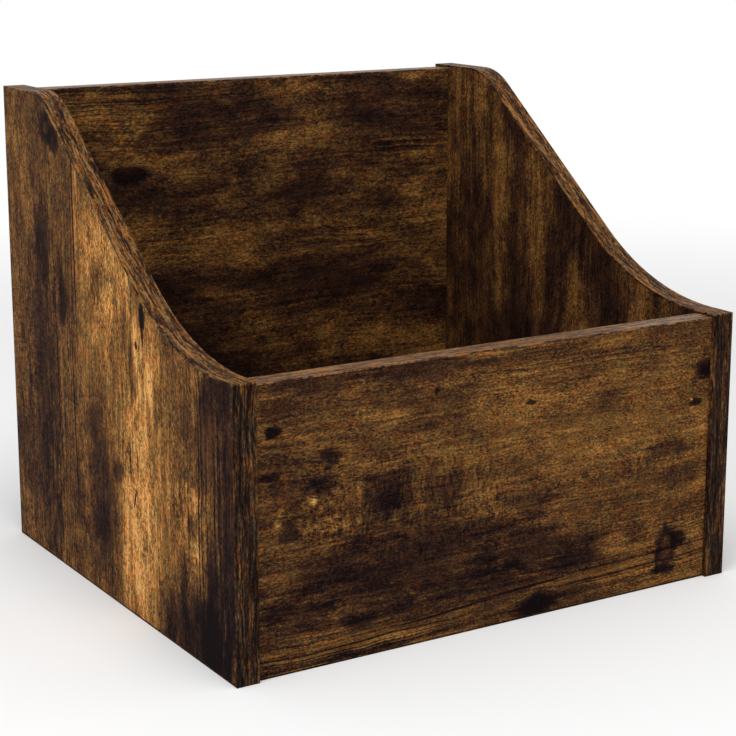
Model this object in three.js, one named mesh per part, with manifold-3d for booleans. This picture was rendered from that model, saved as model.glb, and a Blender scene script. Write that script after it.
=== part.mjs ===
// Open-topped stand that holds twelve-inch record sleeves, made of banded board with hidden joints.
// Millimetres. X runs across the stand, Y from its low front to its tall back, Z up from the floor.
// The origin is on the floor, under the middle of the stand.
import * as THREE from 'three';
import { mergeVertices } from 'three/addons/utils/BufferGeometryUtils.js';
import Module from 'manifold-3d';

const wasm = await Module();
wasm.setup();

// ---------------------------------------------------------------- driving dimensions

// The stand
const INNER_WIDTH = 340; // between the two sides, room for sleeves 315 wide
const DEPTH = 330; // front edge to back edge of a side
const FRONT_HEIGHT = 180; // top of a side at its front
const BACK_HEIGHT = 320; // top of a side at its back
const PANEL_RECESS = 3; // front and back panels stand this far inside the edges of the sides
const PANEL_DROP = 2; // and end this far below the tops of the sides
const FLOOR_CLEARANCE = 3; // under the bottom panel

// The curved top edge of a side, from front to back
const FRONT_LAND = 20; // level stretch at the front
const SWEEP_RADIUS = 184; // hollow curve that lifts off the front land
const SHOULDER_RADIUS = 48; // round shoulder that meets the back land
const BACK_LAND = 46; // level stretch at the back
const STRAIGHT_SHARE = 0.02; // least part of the way kept straight between the two curves

// Boards and their edge bands
const BOARD = 15; // thickness of every board
const BAND = 1; // thickness of an edge band
const GLUE_LINE = 0.1; // between a board and its band
const JOINT_GAP = 0.2; // between two boards that meet

// Joints between a panel and the sides: cam bolts at the ends of a row, dowels between them
const JOINT_MARGIN = 40; // edge of a panel to the first bolt of its row
const FRONT_JOINTS = 3; // bolts and dowels in one row
const BACK_JOINTS = 4;
const BOTTOM_JOINTS = 4;

// Cam lock: a drum in the face of a panel, which draws the head of the bolt inwards
const CAM_DIAMETER = 15; // bore for the drum
const CAM_SETBACK = 34; // end of the panel to the axis of the drum
const CAM_FLOOR = 2.4; // board left under the bore
const CAM_SINK = 0.3; // top of the drum below the face of the panel
const CAM_BASE = 1.2; // wall of the drum under its hollow
const LOCK_TURN = THREE.MathUtils.degToRad(150); // turn from the open mouth to the locked place
const RECESS_LENGTH = 7; // cross recess for the screwdriver
const RECESS_WIDTH = 1.6;
const RECESS_DEPTH = 2.4;

// Cam bolt: it screws into a side and reaches into the drum
const BOLT_GRIP = 11; // length inside the side
const BOLT_CORE = 5; // diameter inside the side
const BOLT_TIP = 0.8; // chamfer at the tip
const COLLAR_DIAMETER = 7.2;
const COLLAR_LENGTH = 1.6;
const SHANK_DIAMETER = 5.6;
const NECK_DIAMETER = 3.4;
const HEAD_LENGTH = 4.4;
const HEAD_CHAMFER = 1.2;
const BOLT_BORE = 8; // diameter of the bore in the end of the panel

// Dowel
const DOWEL_DIAMETER = 7.6;
const DOWEL_LENGTH = 30;
const DOWEL_IN_SIDE = 12;
const DOWEL_CHAMFER = 1;

// Clearances of the fittings
const BORE_CLEARANCE = 0.2; // all round a fitting in its bore
const SEAT_GAP = 0.2; // under the seat of a fitting
const BORE_SPARE = 0.6; // left beyond the end of a fitting
const HEAD_CLEARANCE = 0.3; // round the head and the neck inside the drum

// Fineness of the round shapes
const CONTOUR_STEPS = 24;
const DRUM_SIDES = 20;
const BORE_SIDES = 12;
const SLOT_STEPS = 8;
const OVERCUT = 1; // how far a cut runs past the face that it opens

// ---------------------------------------------------------------- sizes that follow from them

const innerHalf = INNER_WIDTH / 2;
const depthHalf = DEPTH / 2;
const boardHalf = BOARD / 2;
const panelHalf = innerHalf - JOINT_GAP;
const bandInset = BAND + GLUE_LINE;
const frontPanelY = -depthHalf + PANEL_RECESS + boardHalf;
const backPanelY = depthHalf - PANEL_RECESS - boardHalf;
const bottomPanelFront = frontPanelY + boardHalf + JOINT_GAP;
const bottomPanelLength = backPanelY - boardHalf - JOINT_GAP - bottomPanelFront;
const camRadius = CAM_DIAMETER / 2 - BORE_CLEARANCE;
const camBoreDepth = BOARD - CAM_FLOOR;
const camTop = -CAM_SINK;
const camBottom = SEAT_GAP - camBoreDepth;
const camHollowHalf = camBoreDepth - SEAT_GAP - CAM_BASE - boardHalf;
const headRadius = camHollowHalf - HEAD_CLEARANCE;
const neckRadius = Math.min(NECK_DIAMETER / 2, headRadius / 2);
const camHollowRadius = Math.hypot(headRadius, HEAD_LENGTH / 2) + HEAD_CLEARANCE;

// The top edge of a side is one level land, a hollow arc, a straight slope, a shoulder arc and
// another level land. The slope touches both arcs, so its angle follows from their centres.
const run = DEPTH - FRONT_LAND - BACK_LAND;
const rise = BACK_HEIGHT - FRONT_HEIGHT;
const sweepRoom = (run * run + rise * rise) / (2 * rise) - SHOULDER_RADIUS;
const sweepRadius = Math.min(SWEEP_RADIUS, (1 - STRAIGHT_SHARE) * sweepRoom);
const sweepCentre = new THREE.Vector2(-depthHalf + FRONT_LAND, FRONT_HEIGHT + sweepRadius);
const shoulderCentre = new THREE.Vector2(depthHalf - BACK_LAND, BACK_HEIGHT - SHOULDER_RADIUS);
const centreDrop = sweepCentre.y - shoulderCentre.y;
const radiusShare = (sweepRadius + SHOULDER_RADIUS) / sweepCentre.distanceTo(shoulderCentre);
const slope = Math.atan2(run, centreDrop) - Math.acos(radiusShare);

// ---------------------------------------------------------------- materials

const boardFinish = new THREE.MeshStandardMaterial({ color: 0x6b4a2d, roughness: 0.55 });
const bandFinish = new THREE.MeshStandardMaterial({ color: 0x5c4735, roughness: 0.5 });
const zincFinish = new THREE.MeshStandardMaterial({ color: 0x9c9c99, roughness: 0.45, metalness: 1 });
const steelFinish = new THREE.MeshStandardMaterial({ color: 0xb4b2ac, roughness: 0.35, metalness: 1 });
const beechFinish = new THREE.MeshStandardMaterial({ color: 0xc9a678, roughness: 0.75 });

// ---------------------------------------------------------------- helpers

function piece(name, geometry, material, parent) {
  const mesh = new THREE.Mesh(geometry, material.clone());
  mesh.name = name;
  parent.add(mesh);
  return mesh;
}

// Turns a closed geometry into a solid that can be cut.
function solidOf(geometry) {
  const bare = geometry.clone();
  bare.deleteAttribute('normal');
  bare.deleteAttribute('uv');
  const merged = mergeVertices(bare);
  return new wasm.Manifold(new wasm.Mesh({
    numProp: 3,
    vertProperties: new Float32Array(merged.attributes.position.array),
    triVerts: new Uint32Array(merged.index.array),
  }));
}

function geometryOf(solid) {
  const { vertProperties, triVerts } = solid.getMesh();
  const geometry = new THREE.BufferGeometry();
  geometry.setAttribute('position', new THREE.BufferAttribute(vertProperties, 3));
  geometry.setIndex(new THREE.BufferAttribute(triVerts, 1));
  return geometry;
}

function cut(geometry, tools) {
  const solid = tools.reduce((rest, tool) => rest.subtract(solidOf(tool)), solidOf(geometry));
  return geometryOf(solid);
}

// A round bar between two points.
function rod(radius, start, end, sides) {
  const direction = end.clone().sub(start);
  const geometry = new THREE.CylinderGeometry(radius, radius, direction.length(), sides);
  const up = new THREE.Vector3(0, 1, 0);
  geometry.applyQuaternion(new THREE.Quaternion().setFromUnitVectors(up, direction.normalize()));
  return geometry.translate((start.x + end.x) / 2, (start.y + end.y) / 2, (start.z + end.z) / 2);
}

function extrude(shape, depth, steps) {
  return new THREE.ExtrudeGeometry(shape, { depth, bevelEnabled: false, curveSegments: steps });
}

// A box from its lowest to its highest corner.
function block(low, high) {
  const size = high.clone().sub(low);
  const centre = low.clone().add(high).divideScalar(2);
  return new THREE.BoxGeometry(size.x, size.y, size.z).translate(centre.x, centre.y, centre.z);
}

// ---------------------------------------------------------------- sides

// Adds the two arcs of the top edge, from front to back, and the straight stretches that lead to
// them. A larger inset lies deeper in the board.
function arcsToBack(shape, inset) {
  const sweep = sweepRadius + inset;
  const shoulder = SHOULDER_RADIUS - inset;
  shape.absarc(sweepCentre.x, sweepCentre.y, sweep, -Math.PI / 2, slope - Math.PI / 2, false);
  shape.absarc(shoulderCentre.x, shoulderCentre.y, shoulder, slope + Math.PI / 2, Math.PI / 2, true);
}

function arcsToFront(shape, inset) {
  const sweep = sweepRadius + inset;
  const shoulder = SHOULDER_RADIUS - inset;
  shape.absarc(shoulderCentre.x, shoulderCentre.y, shoulder, Math.PI / 2, slope + Math.PI / 2, false);
  shape.absarc(sweepCentre.x, sweepCentre.y, sweep, slope - Math.PI / 2, -Math.PI / 2, true);
}

// Extrudes an outline drawn in (y, z) across the thickness of a side.
function acrossSide(shape) {
  const geometry = extrude(shape, BOARD, CONTOUR_STEPS).translate(0, 0, -boardHalf);
  const alongY = new THREE.Vector3(0, 1, 0);
  const alongZ = new THREE.Vector3(0, 0, 1);
  const alongX = new THREE.Vector3(1, 0, 0);
  return geometry.applyMatrix4(new THREE.Matrix4().makeBasis(alongY, alongZ, alongX));
}

function sideOutline() {
  const end = depthHalf - bandInset;
  const shape = new THREE.Shape();
  shape.moveTo(-end, bandInset);
  shape.lineTo(-end, FRONT_HEIGHT - bandInset);
  arcsToBack(shape, bandInset);
  shape.lineTo(end, BACK_HEIGHT - bandInset);
  shape.lineTo(end, bandInset);
  return shape;
}

// The band over the whole curved top edge, in one strip.
function contourOutline() {
  const shape = new THREE.Shape();
  shape.moveTo(-depthHalf, FRONT_HEIGHT - BAND);
  shape.lineTo(-depthHalf, FRONT_HEIGHT);
  arcsToBack(shape, 0);
  shape.lineTo(depthHalf, BACK_HEIGHT);
  shape.lineTo(depthHalf, BACK_HEIGHT - BAND);
  arcsToFront(shape, BAND);
  return shape;
}

// A straight band on a side, from its lowest to its highest corner in (y, z).
function sideBand(lowY, lowZ, highY, highZ) {
  const low = new THREE.Vector3(-boardHalf, lowY, lowZ);
  const high = new THREE.Vector3(boardHalf, highY, highZ);
  return block(low, high);
}

// A blind bore in the inner face of a side. Inward is 1 where that face looks along +X.
function sideBore(joint, inward, radius, depth) {
  const start = new THREE.Vector3(inward * (boardHalf + OVERCUT), joint.y, joint.z);
  const end = new THREE.Vector3(inward * (boardHalf - depth), joint.y, joint.z);
  return rod(radius, start, end, BORE_SIDES);
}

function sideBoard(inward, panels) {
  const bores = panels.flatMap((panel) => [
    ...panel.bolts.map((at) => sideBore(
      placeOnSide(panel, at), inward, BOLT_CORE / 2 + BORE_CLEARANCE, BOLT_GRIP + BORE_SPARE)),
    ...panel.dowels.map((at) => sideBore(
      placeOnSide(panel, at), inward, DOWEL_DIAMETER / 2 + BORE_CLEARANCE, DOWEL_IN_SIDE + BORE_SPARE)),
  ]);
  return cut(acrossSide(sideOutline()), bores);
}

function buildSide(name, inward, panels) {
  const side = new THREE.Group();
  side.position.x = -inward * (innerHalf + boardHalf);
  piece(`${name}_side_panel`, sideBoard(inward, panels), boardFinish, side);
  piece(`${name}_contour_band`, acrossSide(contourOutline()), bandFinish, side);
  const inner = depthHalf - BAND;
  const frontTop = FRONT_HEIGHT - bandInset;
  const backTop = BACK_HEIGHT - bandInset;
  const bottomEnd = depthHalf - bandInset;
  piece(`${name}_front_band`, sideBand(-depthHalf, 0, -inner, frontTop), bandFinish, side);
  piece(`${name}_back_band`, sideBand(inner, 0, depthHalf, backTop), bandFinish, side);
  piece(`${name}_bottom_band`, sideBand(-bottomEnd, 0, bottomEnd, BAND), bandFinish, side);
  return side;
}

// ---------------------------------------------------------------- fittings

// The drum of a cam lock. Its axis is Z, the face of the panel is at z = 0, and the bolt comes
// from +X. The head passes in by the mouth, and the neck follows the slot as the drum turns.
function camGeometry() {
  const drum = axialRod(camRadius, camBottom, camTop, DRUM_SIDES);
  const hollow = axialRod(
    camHollowRadius, -boardHalf - camHollowHalf, -boardHalf + camHollowHalf, BORE_SIDES);
  const slotHalf = neckRadius + HEAD_CLEARANCE;
  const slotStart = -Math.asin(slotHalf / camHollowRadius);
  const sector = new THREE.Shape();
  sector.absarc(0, 0, camRadius + OVERCUT, slotStart, LOCK_TURN, false);
  sector.absarc(0, 0, camHollowRadius - slotHalf, LOCK_TURN, slotStart, true);
  const slot = extrude(sector, 2 * slotHalf, SLOT_STEPS).translate(0, 0, -boardHalf - slotHalf);
  const inside = new THREE.Vector3(0, 0, -boardHalf);
  const outside = new THREE.Vector3(camRadius + OVERCUT, 0, 0)
    .applyAxisAngle(new THREE.Vector3(0, 0, 1), LOCK_TURN)
    .add(inside);
  const mouth = rod(headRadius + HEAD_CLEARANCE, inside, outside, BORE_SIDES);
  return cut(drum, [hollow, slot, mouth, crossRecess()]);
}

// A round bar along Z, between two heights.
function axialRod(radius, low, high, sides) {
  return rod(radius, new THREE.Vector3(0, 0, low), new THREE.Vector3(0, 0, high), sides);
}

function crossRecess() {
  const long = RECESS_LENGTH / 2;
  const short = RECESS_WIDTH / 2;
  const corners = [[long, short], [short, short], [short, long], [-short, long], [-short, short],
    [-long, short], [-long, -short], [-short, -short], [-short, -long], [short, -long],
    [short, -short], [long, -short]];
  const cross = new THREE.Shape(corners.map(([x, y]) => new THREE.Vector2(x, y)));
  return extrude(cross, RECESS_DEPTH + OVERCUT, 1).translate(0, 0, camTop - RECESS_DEPTH);
}

// A bolt turned about Y. The inner face of the side is at y = 0, and the drum is on the +Y side.
function boltGeometry() {
  const core = BOLT_CORE / 2;
  const collar = COLLAR_DIAMETER / 2;
  const shank = SHANK_DIAMETER / 2;
  const drumAxis = JOINT_GAP + CAM_SETBACK;
  const neckStart = drumAxis - camRadius - HEAD_CLEARANCE;
  const headStart = drumAxis - HEAD_LENGTH / 2;
  const headEnd = drumAxis + HEAD_LENGTH / 2;
  const chamfer = Math.min(HEAD_CHAMFER, headRadius - neckRadius);
  const profile = [
    [0, -BOLT_GRIP],
    [core - BOLT_TIP, -BOLT_GRIP],
    [core, -BOLT_GRIP + BOLT_TIP],
    [core, SEAT_GAP],
    [collar, SEAT_GAP],
    [collar, SEAT_GAP + COLLAR_LENGTH],
    [shank, SEAT_GAP + COLLAR_LENGTH],
    [shank, neckStart],
    [neckRadius, neckStart],
    [neckRadius, headStart],
    [headRadius, headStart + chamfer],
    [headRadius, headEnd - chamfer],
    [headRadius - chamfer, headEnd],
    [0, headEnd],
  ];
  return new THREE.LatheGeometry(profile.map(([x, y]) => new THREE.Vector2(x, y)), BORE_SIDES);
}

function dowelGeometry() {
  const radius = DOWEL_DIAMETER / 2;
  const half = DOWEL_LENGTH / 2;
  const profile = [
    [0, -half],
    [radius - DOWEL_CHAMFER, -half],
    [radius, -half + DOWEL_CHAMFER],
    [radius, half - DOWEL_CHAMFER],
    [radius - DOWEL_CHAMFER, half],
    [0, half],
  ];
  return new THREE.LatheGeometry(profile.map(([x, y]) => new THREE.Vector2(x, y)), BORE_SIDES);
}

// ---------------------------------------------------------------- panels between the sides

// A panel lies in its own frame: X across the stand, Y along its length from its lower or front
// edge, and +Z out of the face that takes the drums. Its joints lie in a row at each end.
function makePanel({ name, length, banded, joints, position, rotation }) {
  const group = new THREE.Group();
  group.position.copy(position);
  group.rotation.copy(rotation);
  const pitch = (length - 2 * JOINT_MARGIN) / (joints - 1);
  const places = Array.from({ length: joints }, (_, index) => JOINT_MARGIN + index * pitch);
  const bolts = [places[0], places[joints - 1]];
  const dowels = places.slice(1, -1);
  return { name, length, banded, bolts, dowels, group };
}

// The point on a side that faces a joint of the panel.
function placeOnSide(panel, at) {
  panel.group.updateMatrix();
  return new THREE.Vector3(0, at, 0).applyMatrix4(panel.group.matrix);
}

function endBore(end, at, radius, depth) {
  const start = new THREE.Vector3(end * (panelHalf + OVERCUT), at, 0);
  const stop = new THREE.Vector3(end * (panelHalf - depth), at, 0);
  return rod(radius, start, stop, BORE_SIDES);
}

function camBore(end, at) {
  const bore = axialRod(CAM_DIAMETER / 2, boardHalf - camBoreDepth, boardHalf + OVERCUT, DRUM_SIDES);
  return bore.translate(end * (panelHalf - CAM_SETBACK), at, 0);
}

function panelBoard(panel) {
  const inset = panel.banded ? bandInset : 0;
  const low = new THREE.Vector3(-panelHalf, inset, -boardHalf);
  const high = new THREE.Vector3(panelHalf, panel.length - inset, boardHalf);
  const dowelRadius = DOWEL_DIAMETER / 2 + BORE_CLEARANCE;
  const dowelDepth = DOWEL_LENGTH - DOWEL_IN_SIDE - JOINT_GAP + BORE_SPARE;
  const bores = [1, -1].flatMap((end) => [
    ...panel.bolts.map((at) => camBore(end, at)),
    ...panel.bolts.map((at) => endBore(end, at, BOLT_BORE / 2, CAM_SETBACK)),
    ...panel.dowels.map((at) => endBore(end, at, dowelRadius, dowelDepth)),
  ]);
  return cut(block(low, high), bores);
}

function addFittings(panel, label, end) {
  const { name, group } = panel;
  panel.bolts.forEach((at, index) => {
    const cam = piece(`${name}_cam_${label}_${index + 1}`, camGeometry(), zincFinish, group);
    cam.position.set(end * (panelHalf - CAM_SETBACK), at, boardHalf);
    cam.rotation.z = end > 0 ? 0 : Math.PI;
    const bolt = piece(`${name}_bolt_${label}_${index + 1}`, boltGeometry(), steelFinish, group);
    bolt.position.set(end * innerHalf, at, 0);
    bolt.rotation.z = end * Math.PI / 2;
  });
  panel.dowels.forEach((at, index) => {
    const dowel = piece(`${name}_dowel_${label}_${index + 1}`, dowelGeometry(), beechFinish, group);
    dowel.position.set(end * (innerHalf + DOWEL_IN_SIDE - DOWEL_LENGTH / 2), at, 0);
    dowel.rotation.z = Math.PI / 2;
  });
}

function addPanelBands(panel) {
  const { name, length, group } = panel;
  const bands = { bottom: 0, top: length - BAND };
  for (const [edge, start] of Object.entries(bands)) {
    const low = new THREE.Vector3(-panelHalf, start, -boardHalf);
    const high = new THREE.Vector3(panelHalf, start + BAND, boardHalf);
    piece(`${name}_${edge}_band`, block(low, high), bandFinish, group);
  }
}

function buildPanel(panel) {
  piece(`${panel.name}_panel`, panelBoard(panel), boardFinish, panel.group);
  if (panel.banded) {
    addPanelBands(panel);
  }
  addFittings(panel, 'left', 1);
  addFittings(panel, 'right', -1);
  return panel.group;
}

// ---------------------------------------------------------------- assembly

const upright = new THREE.Euler(-Math.PI / 2, 0, Math.PI); // length up, drums at the back
const faceDown = new THREE.Euler(0, Math.PI, 0); // length to the back, drums below

const panels = [
  makePanel({
    name: 'front',
    length: FRONT_HEIGHT - PANEL_DROP,
    banded: true,
    joints: FRONT_JOINTS,
    position: new THREE.Vector3(0, frontPanelY, 0),
    rotation: upright,
  }),
  makePanel({
    name: 'back',
    length: BACK_HEIGHT - PANEL_DROP,
    banded: true,
    joints: BACK_JOINTS,
    position: new THREE.Vector3(0, backPanelY, 0),
    rotation: upright,
  }),
  makePanel({
    name: 'bottom',
    length: bottomPanelLength,
    banded: false,
    joints: BOTTOM_JOINTS,
    position: new THREE.Vector3(0, bottomPanelFront, FLOOR_CLEARANCE + boardHalf),
    rotation: faceDown,
  }),
];

const stand = new THREE.Group();
stand.add(buildSide('left', 1, panels), buildSide('right', -1, panels));
for (const panel of panels) {
  stand.add(buildPanel(panel));
}

export default stand;
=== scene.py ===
"""The looks of the record storage stand: printed wood-grain board, edge bands and joint fittings.

The scene is in metres, as the frame is. The finishes are laid out in millimetres: a board's finish
is drawn on a page of its own, which runs along the grain, across the grain and through the board.
"""
import math
from collections import namedtuple

import bpy
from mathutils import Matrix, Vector


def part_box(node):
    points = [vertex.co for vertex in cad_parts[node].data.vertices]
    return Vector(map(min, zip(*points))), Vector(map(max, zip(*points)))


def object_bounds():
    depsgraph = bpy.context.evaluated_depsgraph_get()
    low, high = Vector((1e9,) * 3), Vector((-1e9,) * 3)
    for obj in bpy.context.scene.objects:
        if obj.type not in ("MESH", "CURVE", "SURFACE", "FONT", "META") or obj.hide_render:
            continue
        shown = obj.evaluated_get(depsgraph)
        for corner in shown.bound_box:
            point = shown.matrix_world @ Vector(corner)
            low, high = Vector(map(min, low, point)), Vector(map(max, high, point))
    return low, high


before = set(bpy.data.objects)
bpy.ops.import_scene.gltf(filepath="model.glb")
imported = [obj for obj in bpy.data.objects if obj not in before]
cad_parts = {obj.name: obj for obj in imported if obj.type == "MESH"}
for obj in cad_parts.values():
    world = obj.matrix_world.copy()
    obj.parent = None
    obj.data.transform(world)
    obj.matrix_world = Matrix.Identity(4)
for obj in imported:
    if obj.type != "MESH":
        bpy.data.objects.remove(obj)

MM = 0.001                      # m
WHITE = (1.0, 1.0, 1.0, 1.0)
cad_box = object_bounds()

# ---------------------------------------------------------------- camera

IMAGE_WIDTH = 736               # px, the photo's frame
SENSOR = 36.0                   # mm
FOCAL_LENGTH = 1900             # px
VIEW_TURN = 31.8                # degrees, the camera stands this far round to the left of the front
VIEW_DOWN = 12.6                # degrees below the horizon
VIEW_SHIFT = -0.05              # of the frame's height
CAMERA_PLACE = (-0.660, -1.074, 0.4395)


def make_camera():
    data = bpy.data.cameras.new("camera")
    data.sensor_width = SENSOR
    data.lens = FOCAL_LENGTH * SENSOR / IMAGE_WIDTH
    data.shift_y = VIEW_SHIFT
    camera = bpy.data.objects.new("camera", data)
    camera.location = CAMERA_PLACE
    camera.rotation_euler = (math.radians(90 - VIEW_DOWN), 0, -math.radians(VIEW_TURN))
    bpy.context.scene.collection.objects.link(camera)
    bpy.context.scene.camera = camera


# ---------------------------------------------------------------- node graphs

# A layer of noise: the size of its lumps along, across and through the board, the span of its
# values, how many finer copies lie over it, each of half the size, and the share of the strength
# of the one before that each copy has.
Layer = namedtuple("Layer", "lump span detail roughness", defaults=(2, 0.5))

# The two ends of a tint, as shares of red, green and blue light that a colour keeps.
Tint = namedtuple("Tint", "warm cool")


class Graph:
    """A node tree. Each call adds a node or a few, and returns an output for the next call."""

    def __init__(self, tree):
        self.nodes = tree.nodes
        self.links = tree.links
        self.nodes.clear()

    def add(self, kind, inputs, output=0, **settings):
        """One node, with its inputs linked or set, each by its name or its number."""
        node = self.nodes.new(kind)
        for name, value in settings.items():
            setattr(node, name, value)
        for name, value in inputs.items():
            if isinstance(value, bpy.types.NodeSocket):
                self.links.new(value, node.inputs[name])
            else:
                node.inputs[name].default_value = value
        return node.outputs[output]

    def math(self, operation, *values):
        return self.add("ShaderNodeMath", dict(enumerate(values)), operation=operation)

    def total(self, *values):
        result = values[0]
        for value in values[1:]:
            result = self.math("ADD", result, value)
        return result

    def vector(self, operation, *values, output=0):
        inputs = dict(enumerate(values))
        return self.add("ShaderNodeVectorMath", inputs, output, operation=operation)

    def part(self, vector, axis):
        return self.add("ShaderNodeSeparateXYZ", {"Vector": vector}, axis)

    def spread(self, value, low, high, to_low=0.0, to_high=1.0):
        """A smooth step from to_low, where the value is low, to to_high, where it is high."""
        inputs = {
            "Value": value,
            "From Min": low,
            "From Max": high,
            "To Min": to_low,
            "To Max": to_high,
        }
        return self.add("ShaderNodeMapRange", inputs, interpolation_type="SMOOTHSTEP")

    def lumps(self, place, layer, output=0):
        """The raw noise of a layer, from 0 to 1."""
        inputs = {
            "Vector": self.vector("DIVIDE", place, layer.lump),
            "Scale": 1.0,
            "Detail": layer.detail,
            "Roughness": layer.roughness,
        }
        return self.add("ShaderNodeTexNoise", inputs, output)

    def noise(self, place, layer):
        """Noise about zero. It seldom leaves half the layer's span either way."""
        return self.math("MULTIPLY_ADD", self.lumps(place, layer), layer.span, -layer.span / 2)

    def scatter(self, place, lump, reach):
        """The place, moved a little this way and that by noise with lumps of the given size."""
        value = self.lumps(place, Layer(lump, 1.0, 3, 0.6), "Color")
        value = self.vector("SUBTRACT", value, (0.5, 0.5, 0.5))
        return self.vector("MULTIPLY_ADD", value, reach, place)

    def leaned(self, texture, lean):
        """A texture about zero, with its dark parts deeper by the lean and its light ones less."""
        return self.math("MULTIPLY", texture, self.math("MULTIPLY_ADD", texture, -lean, 1.0))

    def ramp(self, value, stops):
        """Colour by value. Each stop is a value from 0 to 1 and an sRGB colour in 8-bit steps."""
        output = self.add("ShaderNodeValToRGB", {"Fac": value})
        elements = output.node.color_ramp.elements
        while len(elements) < len(stops):
            elements.new(1.0)
        for element, (place, colour) in zip(elements, stops):
            element.position = place
            element.color = linear(colour)
        return output

    def tinted(self, colour, tint, hue):
        """The colour under a tint: its warm end where the hue is 0, its cool end where it is 1."""
        step = [cool - warm for warm, cool in zip(tint.warm, tint.cool)]
        share = self.vector("MULTIPLY_ADD", hue, step, tint.warm)
        return self.vector("MULTIPLY", colour, share)

    def close(self, surface, kind="ShaderNodeOutputMaterial"):
        self.links.new(surface, self.nodes.new(kind).inputs["Surface"])

    def finish(self, inputs, relief, depth, strength=0.8):
        """The material's surface, with these inputs and a relief of this depth in millimetres."""
        relief_inputs = {"Height": relief, "Distance": depth * MM, "Strength": strength}
        bump = self.add("ShaderNodeBump", relief_inputs)
        self.close(self.add("ShaderNodeBsdfPrincipled", {**inputs, "Normal": bump}))


def linear(colour):
    """An sRGB colour in 8-bit steps, as the linear colour that a node holds."""
    shares = [step / 255 for step in colour]
    light = [
        share / 12.92 if share <= 0.04045 else ((share + 0.055) / 1.055) ** 2.4
        for share in shares
    ]
    return [*light, 1.0]


def new_material(name):
    material = bpy.data.materials.new(name)
    material.use_nodes = True
    return material, Graph(material.node_tree)


def page(graph, axes, origin=(0, 0, 0)):
    """A place on a board's page in millimetres. Its axes run along, across and through the board."""
    place = graph.add("ShaderNodeTexCoord", {}, "Object")
    place = graph.vector("MULTIPLY_ADD", place, [1 / MM] * 3, [-value for value in origin])
    parts = {"XYZ"[axis]: graph.part(place, axis) for axis in range(3)}
    inputs = {number: parts[axis] for number, axis in enumerate(axes)}
    return graph.add("ShaderNodeCombineXYZ", inputs)


# ---------------------------------------------------------------- printed wood grain

# The print's colours against its tone. Tone is the logarithm of brightness, 0 at DARKEST and 1 at
# LIGHTEST, so that one change of tone shades a light place and a dark place by the same share.
DARKEST = 10                    # brightness in 8-bit steps
LIGHTEST = 200


def tone(brightness):
    return math.log(brightness / DARKEST) / math.log(LIGHTEST / DARKEST)


PRINT_COLOURS = [
    (tone(12), (18, 11, 13)),
    (tone(22), (34, 21, 18)),
    (tone(41), (59, 37, 25)),
    (tone(65), (92, 62, 33)),
    (tone(87), (122, 84, 42)),
    (tone(105), (147, 102, 52)),
    (tone(136), (188, 130, 69)),
    (tone(165), (218, 160, 94)),
]

LEFT_TONE = tone(65)
FRONT_TONE = tone(67)
HIDDEN_TONE = tone(54)          # the boards whose faces the photo doesn't show
DARK_LEAN = 1.3                 # how much deeper the print's dark flecks run than its light ones
BOARD_TINT = Tint((1.13, 0.94, 0.86), (0.875, 1.06, 1.12))
BOARD_GLOSS = 0.012             # the print is matt, and more gloss would veil it with white

# The layers of the print, with lumps in millimetres and spans in tone.
MOTTLE = Layer((26, 14, 12), 0.78, 4, 0.95)
STREAK = Layer((120, 2.8, 30), 0.55, 2, 0.8)
FLECK = Layer((2.4, 1.2, 2), 0.7, 1, 1.0)
PORE = Layer((2.6, 1.5, 2), 1.0, 1)
FINGER = Layer((70, 7, 30), 1.0, 3, 0.8)
PATCH = Layer((120, 46, 7), 1.0)
GRAIN_LINE = Layer((420, 2.0, 30), 1.2, 1, 0.8)
SAW = Layer((1.7, 11, 6), 0.55, 1)
FLAKE = Layer((5, 3.4, 4), 1.0, 2, 0.8)
HUE = Layer((10, 5.5, 10), 1.0, 4, 0.8)

# Where on a board the streaks are strong, and where an unmarked board is lined, sawn and flaked.
STREAKY = Layer((80, 26, 8), 1.0)
LINED = Layer((150, 40, 8), 1.0)
SAWN = Layer((60, 34, 8), 1.0)
FLAKED = Layer((70, 40, 8), 1.0)

# A mark on the print: where its middle is on the page and its half sizes, in millimetres, its tilt
# in degrees, and its change of tone, above 0 for a lighter mark and below 0 for a darker one. The
# change of a lined, sawn or flaked mark is the strength of that texture there.
Mark = namedtuple("Mark", "along across half_along half_across tilt change")

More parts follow.
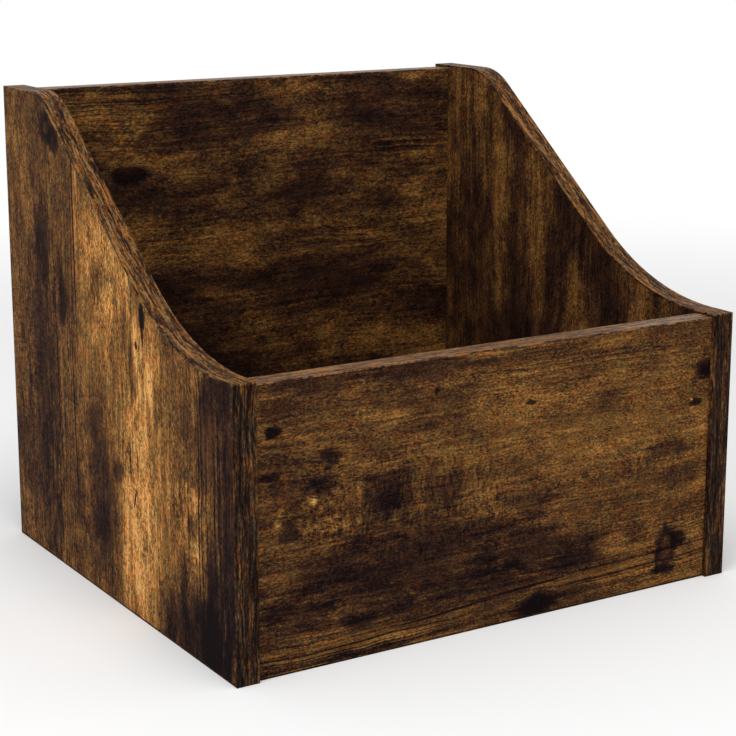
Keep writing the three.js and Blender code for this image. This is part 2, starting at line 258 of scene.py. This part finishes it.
# The left side's outer face, from the floor up (along) and from the front edge back (across).
LEFT_PRINT = {
    "cloud": [
        Mark(150, 278, 85, 18, 0, -0.20),       # the dark belt behind the seams
        Mark(60, 295, 50, 34, 0, -0.15),
        Mark(235, 310, 60, 16, 0, 0.05),
        Mark(250, 212, 45, 9, 0, 0.06),
        Mark(215, 175, 75, 40, 0, 0.17),        # the pale field under the slope
        Mark(62, 182, 52, 24, 0, -0.18),        # the dark patch behind the bright belt
        Mark(75, 128, 85, 30, 0, 0.22),         # the bright upright belt
        Mark(150, 121, 40, 8, 0, 0.10),
        Mark(182, 113, 28, 20, 0, 0.18),
        Mark(112, 168, 26, 8, 0, 0.10),
        Mark(125, 256, 62, 9, 0, -0.14),
        Mark(125, 318, 26, 14, 0, -0.08),
        Mark(18, 300, 22, 22, 0, 0.12),
        Mark(208, 141, 12, 9, 0, 0.10),
        Mark(78, 322, 26, 9, 0, -0.14),
        Mark(140, 34, 34, 14, 0, -0.23),
        Mark(135, 60, 40, 12, 0, -0.06),
        Mark(25, 262, 26, 8, 0, -0.16),
        Mark(262, 292, 34, 16, 0, 0.08),
        Mark(80, 21, 14, 6, 0, 0.18),
        Mark(10, 45, 32, 46, 12, -0.31),        # the burnt foot of the front corner
        Mark(30, 22, 44, 20, 0, -0.22),
        Mark(90, 6, 95, 13, 0, -0.21),          # the dark belt down the front edge
        Mark(170, 20, 16, 20, 0, -0.22),
        Mark(100, 58, 60, 32, 0, 0.10),
        Mark(50, 236, 50, 16, 0, -0.08),
    ],
    "blot": [
        Mark(222, 268, 30, 11, 0, -0.22),
        Mark(187, 239, 16, 6, 0, -0.34),        # the long blot beside the seam
        Mark(188, 193, 14, 6, 0, -0.14),
        Mark(82, 97, 10, 6, 0, -0.10),
        Mark(208, 242, 14, 5, 0, -0.20),
        Mark(60, 222, 26, 8, 0, -0.12),
        Mark(212, 180, 12, 14, 0, -0.14),
        Mark(112, 198, 9, 13, 0, -0.12),
        Mark(90, 158, 8, 7, 0, -0.20),
        Mark(45, 185, 14, 10, 0, -0.18),
        Mark(158, 132, 16, 6, 0, -0.08),
        Mark(98, 52, 7, 6, 20, 0.14),
        Mark(68, 50, 6, 7, 0, 0.12),
        Mark(80, 56, 10, 5, 0, -0.12),
        Mark(38, 66, 24, 5, 0, -0.24),
        Mark(52, 30, 30, 6, 0, -0.26),
        Mark(16, 84, 18, 6, 0, -0.22),
    ],
    "knot": [
        Mark(298, 258, 11, 10, 0, -0.34),       # the knot at the top, in two lobes
        Mark(291, 246, 9, 8, 0, -0.36),
        Mark(298, 258, 4, 4, 0, 0.20),
        Mark(197, 117, 8, 4, 0, -0.60),         # the knot on the bright belt and its tail
        Mark(186, 117, 7, 1.4, 0, -0.40),
        Mark(178, 126, 2, 1.8, 0, -0.50),
    ],
    "crack": [
        Mark(233, 217.5, 54, 0.9, 0, -0.42),    # the seams between printed planks
        Mark(145, 250.5, 60, 0.8, 1.2, -0.40),
        Mark(115, 224.5, 62, 0.9, 1.0, -0.42),
        Mark(101, 138.5, 12, 0.8, 0, -0.50),    # the splits in the bright belt
        Mark(102, 128, 8, 0.7, 3, -0.40),
        Mark(78, 133, 6, 0.9, -18, -0.46),
    ],
    "lined": [
        Mark(60, 240, 75, 12, 0, 1.0),
        Mark(200, 226, 90, 12, 0, 0.7),
        Mark(100, 34, 90, 26, 0, 0.9),
    ],
    "sawn": [
        Mark(120, 300, 80, 32, 0, 0.6),
        Mark(60, 130, 60, 22, 0, 0.3),
    ],
    "flaked": [
        Mark(30, 300, 50, 30, 0, 0.6),
        Mark(70, 60, 60, 22, 0, 0.5),
    ],
}

# The front panel's outer face, to the right from the middle (along) and from the floor up (across).
FRONT_PRINT = {
    "cloud": [
        Mark(-55, 49, 62, 26, 0, -0.22),        # the dark zone at the lower left
        Mark(-138, 37, 22, 9, 0, -0.22),
        Mark(-122, 60, 42, 20, 0, -0.20),
        Mark(-45, 150, 24, 12, 0, -0.12),
        Mark(18, 55, 28, 7, 0, -0.14),
        Mark(-148, 106, 24, 30, 0, -0.13),
        Mark(-126, 82, 15, 9, 0, 0.12),
        Mark(-87, 64, 9, 13, 0, 0.14),
        Mark(34, 45, 34, 12, 0, -0.20),
        Mark(-50, 170, 40, 8, 0, -0.18),
        Mark(25, 171, 40, 7, 0, -0.12),
        Mark(-78, 156, 18, 7, 0, -0.10),
        Mark(-132, 173, 34, 7, 0, -0.14),
        Mark(0, 145, 30, 10, 0, 0.07),
        Mark(48, 138, 42, 8, 16, 0.12),         # the bright band that rises to the right
        Mark(85, 112, 34, 11, 0, 0.13),
        Mark(26, 114, 17, 12, 0, 0.10),
        Mark(155, 108, 18, 9, 0, 0.06),
        Mark(-20, 112, 26, 12, 0, 0.06),
        Mark(-140, 18, 34, 5, 0, 0.10),
        Mark(112, 10, 58, 8, 0, 0.16),          # the pale strip along the foot
        Mark(120, 34, 45, 10, 0, 0.04),
        Mark(0, 14, 190, 18, 0, -0.09),
        Mark(-72, 6, 24, 5, 0, 0.20),
        Mark(0, 24, 40, 8, 0, -0.10),
    ],
    "blot": [
        Mark(-86, 99, 12, 16, 0, -0.14),
        Mark(-33, 95, 8, 14, 0, -0.16),
        Mark(-80, 93, 8, 7, 0, -0.26),          # the dark square patch
        Mark(-148, 86, 6, 6, 0, -0.24),
        Mark(-125, 112, 8, 7, 0, -0.26),
        Mark(-121, 128, 8, 5, 0, -0.20),
        Mark(-155, 162, 13, 8, 0, -0.20),
        Mark(22, 77, 20, 10, 0, -0.20),
        Mark(148, 74, 17, 8, 0, -0.18),
        Mark(58, 11, 15, 5, 0, -0.26),
        Mark(165, 145, 9, 7, -10, -0.30),
        Mark(-10, 45, 8, 8, 0, -0.14),
        Mark(-48, 96, 7, 16, 0, -0.12),
        Mark(62, 33, 20, 7, 0, -0.26),
        Mark(-14, 31, 30, 6, 0, -0.20),
        Mark(-100, 22, 10, 4, 0, -0.24),
        Mark(-160, 38, 12, 6, 0, -0.20),
        Mark(30, 6, 16, 8, 8, -0.52),           # the burnt spot at the foot
        Mark(137, 94, 18, 6, 0, -0.14),
        Mark(146, 32, 6, 6, 0, -0.28),
        Mark(-132, 104, 4, 4, 0, 0.26),         # the bright flecks
        Mark(-154, 96, 3, 6, 0, 0.22),
        Mark(-70, 94, 8, 17, 0, -0.14),
        Mark(-162, 18, 9, 5, 0, -0.20),
    ],
    "knot": [
        Mark(-158, 148, 5, 3, 0, -0.55),        # the knots at the left end
        Mark(-160, 122, 8, 3, 5, -0.30),
        Mark(137.5, 28, 8.5, 12, 0, -0.42),     # the ring knot, its paler heart, lobe and foot
        Mark(137.5, 26, 5, 8, 0, 0.28),
        Mark(149, 31, 6, 4, 0, -0.26),
        Mark(136, 11.5, 9, 3.5, -4, -0.44),
        Mark(129.5, 17, 1.4, 9, 0, -0.26),
        Mark(-101, 98, 1.6, 18, 0, 0.05),
        Mark(166, 143, 6, 4, 0, -0.24),
        Mark(158, 122, 5, 3, 0, -0.40),         # the knot at the right end and its pale fleck
        Mark(155, 124, 1.6, 1.2, 0, 0.32),
        Mark(24, 140.5, 4, 1.5, 0, -0.36),
        Mark(-46, 157, 1.4, 2.4, 0, -0.30),
        Mark(68, 86.5, 3, 1.8, 0, -0.16),
    ],
    "crack": [
        Mark(-35, 16.2, 30, 0.7, 3.0, -0.42),   # the long crack near the floor
        Mark(20, 20.3, 30, 0.8, 2.4, -0.42),
    ],
    "lined": [
        Mark(-110, 10, 80, 13, 0, 1.3),
        Mark(110, 18, 80, 20, 0, 1.1),
        Mark(80, 160, 90, 20, 0, 0.3),
    ],
    "sawn": [
        Mark(-60, 88, 80, 34, 0, 1.0),
        Mark(120, 90, 50, 16, 0, 0.5),
    ],
    "flaked": [
        Mark(-134, 108, 30, 28, 0, 1.0),
        Mark(-30, 60, 60, 20, 0, 0.4),
    ],
}

# How the marks of a kind are drawn: the lumps of the noise that bends their outlines and its reach,
# in millimetres along and across the grain, how far fine grain frays the outline, how far it runs
# out in long fingers, and how soft it is.
Style = namedtuple("Style", "lump reach fray fingers edge")
STYLES = {
    "cloud": Style((40, 18), (24, 12), 1.2, 2.4, 0.6),
    "blot": Style((12, 8), (8, 5), 1.4, 0.9, 0.55),
    "knot": Style((7, 5), (5, 4), 0.8, 0.3, 0.35),
    "crack": Style((14, 14), (2, 2), 0.0, 0.0, 0.5),
    "lined": Style((40, 18), (24, 6), 1.0, 0.0, 0.6),
    "sawn": Style((40, 18), (24, 12), 1.0, 0.0, 0.6),
    "flaked": Style((40, 18), (24, 12), 1.0, 0.0, 0.6),
}
SHADES = ("cloud", "blot", "knot", "crack")     # the kinds that lighten or darken the print
ZONES = ("lined", "sawn", "flaked")             # the kinds that say where a texture shows

# Knots on the unmarked boards. Each cell of a coarse net has room for one, and most stay without.
KNOT_CELL = (130, 62, 40)       # mm along, across and through
KNOTLESS = 0.62                 # share of the cells without one
KNOT_RADIUS = 0.16              # of a cell, at most
KNOT_CHANGE = -0.42             # in tone

FACE_SKIN = 1                   # mm, how deep below its face a board's own marks reach


def stamped(graph, place, ragged, finger, kind, marks):
    """The sum of all marks of one kind. Each has its whole change inside its frayed outline.

    The arithmetic is in plain vectors, because a material with seventy Mapping nodes renders black.
    """
    style = STYLES[kind]
    flat = graph.vector("MULTIPLY", place, (1, 1, 0))
    flat = graph.scatter(flat, (*style.lump, 1), (*style.reach, 0))
    frayed = graph.math("MULTIPLY", ragged, style.fray)
    fingered = graph.math("MULTIPLY", finger, style.fingers)
    outline = graph.total(frayed, fingered)
    changes = []
    for mark in marks:
        offset = graph.vector("SUBTRACT", flat, (mark.along, mark.across, 0))
        if mark.tilt:
            inputs = {"Vector": offset, "Angle": -math.radians(mark.tilt)}
            offset = graph.add("ShaderNodeVectorRotate", inputs, rotation_type="Z_AXIS")
        offset = graph.vector("DIVIDE", offset, (mark.half_along, mark.half_across, 1))
        away = graph.total(graph.vector("LENGTH", offset, output="Value"), outline)
        changes.append(graph.spread(away, 1 - style.edge, 1 + style.edge, mark.change, 0))
    return graph.total(*changes)


def random_knots(graph, place, ragged):
    """Dark knots here and there, with ragged outlines."""
    place = graph.vector("DIVIDE", place, KNOT_CELL)
    inputs = {"Vector": place, "Scale": 1.0, "Randomness": 0.9}
    cell = graph.add("ShaderNodeTexVoronoi", inputs, "Distance").node
    chance = graph.part(cell.outputs["Color"], 0)
    radius = graph.spread(chance, KNOTLESS, 1.0, 0.0, KNOT_RADIUS)
    away = graph.total(cell.outputs["Distance"], graph.math("MULTIPLY", ragged, KNOT_RADIUS / 2))
    return graph.spread(graph.math("SUBTRACT", away, radius), -0.05, 0.02, KNOT_CHANGE, 0)


def on_outer_face(graph, panel, through):
    """1 on the face of the panel that lies lowest along the axis through it, and 0 elsewhere."""
    axis = "XYZ".index(through)
    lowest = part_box(panel)[0][axis]
    place = graph.add("ShaderNodeTexCoord", {}, "Object")
    return graph.math("LESS_THAN", graph.part(place, axis), lowest + FACE_SKIN * MM)


def marks_by_chance(graph, place, moved, ragged, patch):
    """The stain and knots of an unmarked board, and where it is lined, sawn and flaked."""
    stain = graph.spread(patch, -0.18, 0.16, -0.24, 0.1)
    drawn = graph.total(stain, random_knots(graph, moved, ragged))
    lined = graph.spread(graph.noise(place, LINED), 0.0, 0.2, 0.1, 0.9)
    sawn = graph.spread(graph.noise(moved, SAWN), 0.02, 0.2, 0.0, 0.7)
    flaked = graph.spread(graph.noise(moved, FLAKED), 0.04, 0.2, 0.0, 0.6)
    return drawn, lined, sawn, flaked


def marks_by_hand(graph, place, ragged, finger, patch, marks, here):
    """The same for a board with marks of its own, which show only on the face that is here."""
    stain = graph.spread(patch, -0.16, 0.14, -0.07, 0.03)
    kinds = {kind: stamped(graph, place, ragged, finger, kind, marks[kind]) for kind in marks}
    drawn = graph.total(*(kinds[kind] for kind in SHADES))
    drawn = graph.math("MULTIPLY_ADD", drawn, here, stain)
    return drawn, *(graph.math("MULTIPLY", kinds[kind], here) for kind in ZONES)


def printed_board(panel, axes, origin, level, marks=None):
    """Wood grain printed on board: dark stain, streaks, flecks and knots, with a face's own marks."""
    material, graph = new_material(panel.removesuffix("_panel").replace("_", " ") + " print")
    place = page(graph, axes, origin)
    bent = graph.scatter(place, (150, 60, 60), (30, 18, 0))
    moved = graph.scatter(bent, (12, 7, 12), (5, 2.5, 0))

    mottle = graph.noise(moved, MOTTLE)
    streaky = graph.spread(graph.noise(place, STREAKY), -0.12, 0.2, 0.3, 1.0)
    streak = graph.math("MULTIPLY", graph.noise(bent, STREAK), streaky)
    fleck = graph.noise(place, FLECK)
    finger = graph.noise(bent, FINGER)
    pore = graph.spread(graph.noise(place, PORE), 0.15, 0.24, 0, -0.2)
    strands = graph.math("MULTIPLY", streak, 0.7)
    ragged = graph.total(mottle, strands, graph.math("MULTIPLY", fleck, 0.3))
    patch = graph.total(graph.noise(bent, PATCH), graph.math("MULTIPLY", ragged, 0.3))
    patch = graph.total(patch, graph.math("MULTIPLY", finger, 0.25))

    if marks is None:
        drawn, lined, sawn, flaked = marks_by_chance(graph, place, moved, ragged, patch)
    else:
        here = on_outer_face(graph, panel, axes[2])
        drawn, lined, sawn, flaked = marks_by_hand(
            graph, place, ragged, finger, patch, marks, here)
    thin = graph.math("MINIMUM", graph.noise(bent, GRAIN_LINE), 0.1)
    line = graph.math("MULTIPLY", thin, lined)
    saw = graph.math("MULTIPLY", graph.noise(moved, SAW), sawn)
    flake = graph.math("MULTIPLY", graph.noise(moved, FLAKE), flaked)
    texture = graph.leaned(graph.total(mottle, streak, fleck, line, saw, flake), DARK_LEAN)
    shade = graph.total(texture, pore, drawn, level)

    hue = graph.spread(graph.noise(moved, HUE), -0.18, 0.18)
    relief = graph.spread(graph.total(fleck, streak, pore, line), -0.4, 0.4)
    inputs = {
        "Base Color": graph.tinted(graph.ramp(shade, PRINT_COLOURS), BOARD_TINT, hue),
        "Roughness": graph.spread(shade, 0.2, 0.8, 0.6, 0.5),
        "Specular IOR Level": BOARD_GLOSS,
    }
    graph.finish(inputs, relief, depth=0.12)
    dress(material, panel)


# ---------------------------------------------------------------- edge bands

BAND_COLOURS = [
    (tone(12), (17, 11, 8)),
    (tone(21), (29, 18, 14)),
    (tone(35), (47, 32, 23)),
    (tone(48), (65, 43, 29)),
    (tone(73), (98, 67, 36)),
    (tone(106), (140, 98, 55)),
]
# The bands share one print and palette, and their tones differ with the way they face. The contour
# bands along the sloped tops of the sides have painted light from above in their tone.
CONTOUR_TONE_PAINTED_LIGHT = tone(59)
# The side panels' front, back and bottom bands have painted shade in their tone, as they face away
# from the light above.
SIDE_TONE_PAINTED_SHADE = tone(34)
# The top bands of the front and back panels face up, and have painted light from above in their tone.
TOP_TONE_PAINTED_LIGHT = tone(67)
# The foot bands along the bottom edges of the front and back panels have painted shade in their tone.
FOOT_TONE_PAINTED_SHADE = tone(31)
BAND_LEAN = 0.5                 # how much deeper the bands' dark flecks run than their light ones
BAND_TINT = Tint((1.22, 0.92, 0.65), (0.83, 1.10, 1.30))
BAND_GLOSS = 0.02
TOP_GLOSS = 0.13                # the level bands on top are seen at a low angle, where they shine

# The layers of a band's print, as long through the band as along it, so that a swept band has them
# all the way.
BAND_THREAD = Layer((36, 2.8, 36), 1.9, 3, 0.9)
BAND_FLECK = Layer((5, 1.3, 5), 1.2, 2, 1.0)
BAND_HUE = Layer((10, 1.6, 10), 1.0, 2, 0.7)


def edge_band(name, axes, level, gloss=BAND_GLOSS):
    """Printed edge band: fine dashes and wavy threads, dark, orange and olive, that run along it."""
    material, graph = new_material(name)
    bent = graph.scatter(page(graph, axes), (30, 8, 30), (0, 4, 0))
    fleck = graph.noise(bent, BAND_FLECK)
    texture = graph.total(graph.noise(bent, BAND_THREAD), fleck)
    # The level gives each band its tone, with painted light for the bands that face up and painted
    # shade for those that face forward and down.
    shade = graph.total(graph.leaned(texture, BAND_LEAN), level)
    hue = graph.spread(graph.noise(bent, BAND_HUE), -0.13, 0.13)
    inputs = {
        "Base Color": graph.tinted(graph.ramp(shade, BAND_COLOURS), BAND_TINT, hue),
        "Roughness": graph.spread(fleck, -0.2, 0.2, 0.5, 0.4),
        "Specular IOR Level": gloss,
    }
    graph.finish(inputs, graph.spread(texture, -0.4, 0.4), depth=0.1)
    return material


# ---------------------------------------------------------------- joint fittings

METAL_STAIN = Layer((3, 3, 3), 1.0, 4, 0.7)
METAL_PITS = Layer((0.25, 0.25, 0.25), 1.0, 1)
BEECH_GRAIN = Layer((22, 1.4, 1.4), 0.9, 3)
BEECH_FLECK = Layer((2.5, 0.4, 0.4), 1.0, 1)
BEECH_COLOURS = [(0.0, (168, 124, 82)), (0.5, (206, 166, 120)), (1.0, (226, 193, 150))]


def bare_metal(name, dark, light, roughness):
    """Metal as it comes from the mould or the header: uneven, a little dull and finely pitted."""
    material, graph = new_material(name)
    place = page(graph, "XYZ")
    stain = graph.noise(place, METAL_STAIN)
    stops = [(0.0, dark), (1.0, light)]
    inputs = {
        "Base Color": graph.ramp(graph.spread(stain, -0.3, 0.3), stops),
        "Roughness": graph.spread(stain, -0.3, 0.3, roughness + 0.12, roughness - 0.08),
        "Metallic": 1.0,
    }
    pits = graph.spread(graph.noise(place, METAL_PITS), -0.3, 0.3)
    graph.finish(inputs, pits, depth=0.03, strength=0.7)
    return material


def turned_wood(name):
    """Pale beech of the dowels, with short dark flecks along the grain."""
    material, graph = new_material(name)
    place = page(graph, "XYZ")
    grain = graph.noise(place, BEECH_GRAIN)
    fleck = graph.spread(graph.noise(place, BEECH_FLECK), 0.14, 0.24, 0, -0.3)
    shade = graph.spread(graph.total(grain, fleck), -0.4, 0.4)
    inputs = {
        "Base Color": graph.ramp(shade, BEECH_COLOURS),
        "Roughness": graph.spread(grain, -0.4, 0.4, 0.7, 0.55),
    }
    graph.finish(inputs, shade, depth=0.08)
    return material


# ---------------------------------------------------------------- finishes on the CAD nodes

SOFT_EDGE = 0.3                 # mm, the radius of the bands' edges
SHARP = 40                      # degrees, the angle from which an edge is softened


def dress(material, *names):
    for name in names:
        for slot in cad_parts[name].material_slots:
            slot.material = material


def soften(*names):
    """Rounds the sharp edges, so that they catch a thin line of light."""
    for name in names:
        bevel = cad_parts[name].modifiers.new("soft edge", "BEVEL")
        bevel.width = SOFT_EDGE * MM
        bevel.segments = 2
        bevel.limit_method = "ANGLE"
        bevel.angle_limit = math.radians(SHARP)
        bevel.use_clamp_overlap = True


def matching(word):
    return [name for name in sorted(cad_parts) if word in name]


def dress_boards():
    """The page of a marked board starts where its marks are measured from.

    The others start far away in the noise, so that no two boards have the same print.
    """
    front_edge = cad_box[0][1] / MM
    printed_board("left_side_panel", "ZYX", (0, front_edge, 0), LEFT_TONE, LEFT_PRINT)
    printed_board("right_side_panel", "ZYX", (0, -900, 400), HIDDEN_TONE)
    printed_board("front_panel", "XZY", (0, 0, 0), FRONT_TONE, FRONT_PRINT)
    printed_board("back_panel", "XZY", (700, 0, 500), HIDDEN_TONE)
    printed_board("bottom_panel", "XYZ", (-900, 300, 0), HIDDEN_TONE)


def dress_bands():
    side_bands = [
        f"{side}_{edge}_band"
        for side in ("left", "right")
        for edge in ("front", "back", "bottom")
    ]
    # The contour and top bands get painted light from above in their tone, and the side and foot
    # bands get painted shade.
    contour = edge_band("contour band print with painted light", "YXZ", CONTOUR_TONE_PAINTED_LIGHT)
    dress(contour, "left_contour_band", "right_contour_band")
    dress(edge_band("side band print with painted shade", "YXZ", SIDE_TONE_PAINTED_SHADE), *side_bands)
    top = edge_band("top band print with painted light", "XYZ", TOP_TONE_PAINTED_LIGHT, TOP_GLOSS)
    dress(top, "front_top_band", "back_top_band")
    foot = edge_band("foot band print with painted shade", "XYZ", FOOT_TONE_PAINTED_SHADE)
    dress(foot, "front_bottom_band", "back_bottom_band")
    soften(*matching("_band"))


def dress_fittings():
    dress(bare_metal("zinc", (128, 128, 130), (176, 177, 180), 0.42), *matching("_cam_"))
    dress(bare_metal("steel", (118, 120, 124), (168, 170, 175), 0.32), *matching("_bolt_"))
    dress(turned_wood("beech"), *matching("_dowel_"))


# ---------------------------------------------------------------- floor and light

FLOOR_SIZE = 40.0               # m
FLOOR_GAP = 0.0002              # m, so that the stand's feet and the floor don't share a plane
FLOOR_COLOUR = (0.9, 0.9, 0.9, 1.0)
FADE_START = 0.6                # m from the middle, where the floor begins to fade into white
FADE_END = 1.6
WORLD_STRENGTH = 0.58
AIM = (0, 0, 0.15)              # m, the place that the lamps face


def seen(graph):
    """1 for the rays that see the background: the camera's, and those in gloss and glass."""
    path = graph.nodes.new("ShaderNodeLightPath").outputs
    shown = graph.math("MAXIMUM", path["Is Camera Ray"], path["Is Glossy Ray"])
    return graph.math("MAXIMUM", shown, path["Is Transmission Ray"])


def floor_material():
    """A pale floor that keeps the stand's shadow and fades into the white background."""
    material, graph = new_material("floor")
    place = graph.add("ShaderNodeTexCoord", {}, "Object")
    away = graph.vector("LENGTH", place, output="Value")
    far = graph.spread(away, FADE_START, FADE_END)
    plain = graph.add("ShaderNodeBsdfDiffuse", {"Color": FLOOR_COLOUR})
    white = graph.add("ShaderNodeEmission", {"Color": WHITE, "Strength": 1.0})
    factor = graph.math("MULTIPLY", far, seen(graph))
    graph.close(graph.add("ShaderNodeMixShader", {0: factor, 1: plain, 2: white}))
    return material


def make_floor():
    half = FLOOR_SIZE / 2
    sides = ((-half, -half), (half, -half), (half, half), (-half, half))
    mesh = bpy.data.meshes.new("floor")
    mesh.from_pydata([(x, y, -FLOOR_GAP) for x, y in sides], [], [(0, 1, 2, 3)])
    mesh.materials.append(floor_material())
    floor = bpy.data.objects.new("floor", mesh)
    bpy.context.scene.collection.objects.link(floor)


def make_world():
    world = bpy.data.worlds.new("studio")
    world.use_nodes = True
    graph = Graph(world.node_tree)
    soft = graph.add("ShaderNodeBackground", {"Color": WHITE, "Strength": WORLD_STRENGTH})
    white = graph.add("ShaderNodeBackground", {"Color": WHITE, "Strength": 1.0})
    mixed = graph.add("ShaderNodeMixShader", {0: seen(graph), 1: soft, 2: white})
    graph.close(mixed, "ShaderNodeOutputWorld")
    bpy.context.scene.world = world


def softbox(name, place, size, power):
    """A square area lamp, with its place and size in metres and its power in watts."""
    data = bpy.data.lights.new(name, "AREA")
    data.shape = "SQUARE"
    data.size = size
    data.energy = power
    lamp = bpy.data.objects.new(name, data)
    lamp.location = place
    lamp.rotation_euler = (Vector(AIM) - Vector(place)).to_track_quat("-Z", "Y").to_euler()
    bpy.context.scene.collection.objects.link(lamp)


make_camera()
make_world()
softbox("overhead", (-0.4, -0.8, 2.5), size=1.6, power=36)
softbox("left", (-2.6, -0.9, 1.1), size=1.4, power=20)
make_floor()
dress_boards()
dress_bands()
dress_fittings()
bpy.context.scene.view_settings.view_transform = "Standard"
